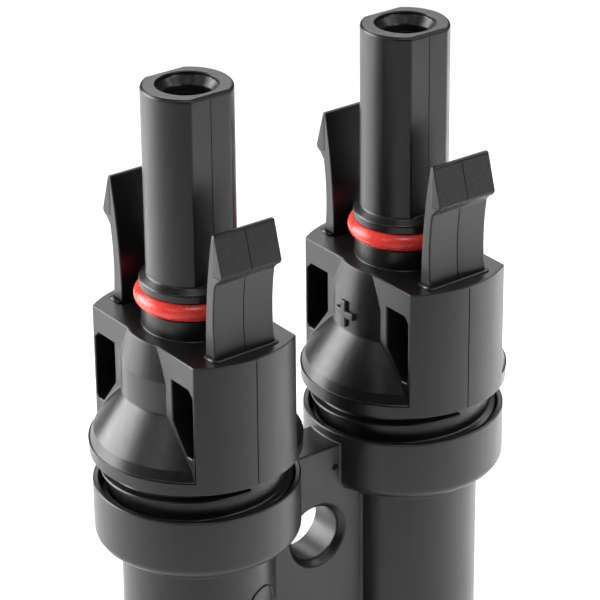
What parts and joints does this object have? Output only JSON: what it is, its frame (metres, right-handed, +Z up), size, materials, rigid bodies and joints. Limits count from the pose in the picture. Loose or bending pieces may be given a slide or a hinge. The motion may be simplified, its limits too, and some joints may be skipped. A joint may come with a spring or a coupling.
{
  "type": "solar cable branch connector",
  "caption": "Forked branch connector for solar cables: parallel latching socket plugs in a webbed body that leads down to a single pin coupler.",
  "frame": {"origin": "centre of the mounting hole in the web between the two barrels", "axes": "+Z up along the socket plugs, +X from the left plug to the right plug, -Y to the front, along the mounting hole"},
  "size_m": [0.0439, 0.0198, 0.1115],
  "materials": {
    "body_plastic": "satin moulded black",
    "plug_plastic": "satin moulded black",
    "latch_plastic": "satin moulded black with a spark-textured barb",
    "coupler_plastic": "satin moulded black",
    "red_silicone": "glossy silicone rubber",
    "black_rubber": "matt rubber",
    "tinned_copper": "tin-plated copper",
    "spring_bronze": "beryllium copper",
    "spring_steel": "stainless spring steel",
    "copper_wire": "bare copper",
    "wire_jacket": "cross-linked insulation"
  },
  "bodies": {
    "connector": {"branch_body": "body_plastic", "left_socket_housing": "plug_plastic", "right_socket_housing": "plug_plastic", "left_nose_seal": "red_silicone", "right_nose_seal": "red_silicone", "left_neck_seal": "black_rubber", "right_neck_seal": "black_rubber", "pin_neck_seal": "black_rubber", "left_wire_seal": "black_rubber", "right_wire_seal": "black_rubber", "left_socket_contact": "tinned_copper", "right_socket_contact": "tinned_copper", "pin_contact": "tinned_copper", "junction_ferrule": "tinned_copper", "left_contact_spring": "spring_bronze", "right_contact_spring": "spring_bronze", "left_contact_clip": "spring_steel", "right_contact_clip": "spring_steel", "pin_contact_clip": "spring_steel", "left_conductor": "copper_wire", "right_conductor": "copper_wire", "left_insulation": "wire_jacket", "right_insulation": "wire_jacket", "pin_housing": "coupler_plastic"},
    "left_front_arm": {"left_front_latch": "latch_plastic"},
    "left_back_arm": {"left_back_latch": "latch_plastic"},
    "right_front_arm": {"right_front_latch": "latch_plastic"},
    "right_back_arm": {"right_back_latch": "latch_plastic"}
  },
  "joints": [
    {"name": "left_front_flex", "type": "hinge", "parent": "connector", "child": "left_front_arm", "pos_m": [-0.0121, -0.00737, 0.02493], "axis": [-1, 0, 0], "range_deg": [0, 7], "stiffness_Nm_per_rad": 0.8},
    {"name": "left_back_flex", "type": "hinge", "parent": "connector", "child": "left_back_arm", "pos_m": [-0.0121, 0.00737, 0.02493], "axis": [1, 0, 0], "range_deg": [0, 7], "stiffness_Nm_per_rad": 0.8},
    {"name": "right_front_flex", "type": "hinge", "parent": "connector", "child": "right_front_arm", "pos_m": [0.0121, -0.00737, 0.02493], "axis": [-1, 0, 0], "range_deg": [0, 7], "stiffness_Nm_per_rad": 0.8},
    {"name": "right_back_flex", "type": "hinge", "parent": "connector", "child": "right_back_arm", "pos_m": [0.0121, 0.00737, 0.02493], "axis": [1, 0, 0], "range_deg": [0, 7], "stiffness_Nm_per_rad": 0.8}
  ]
}
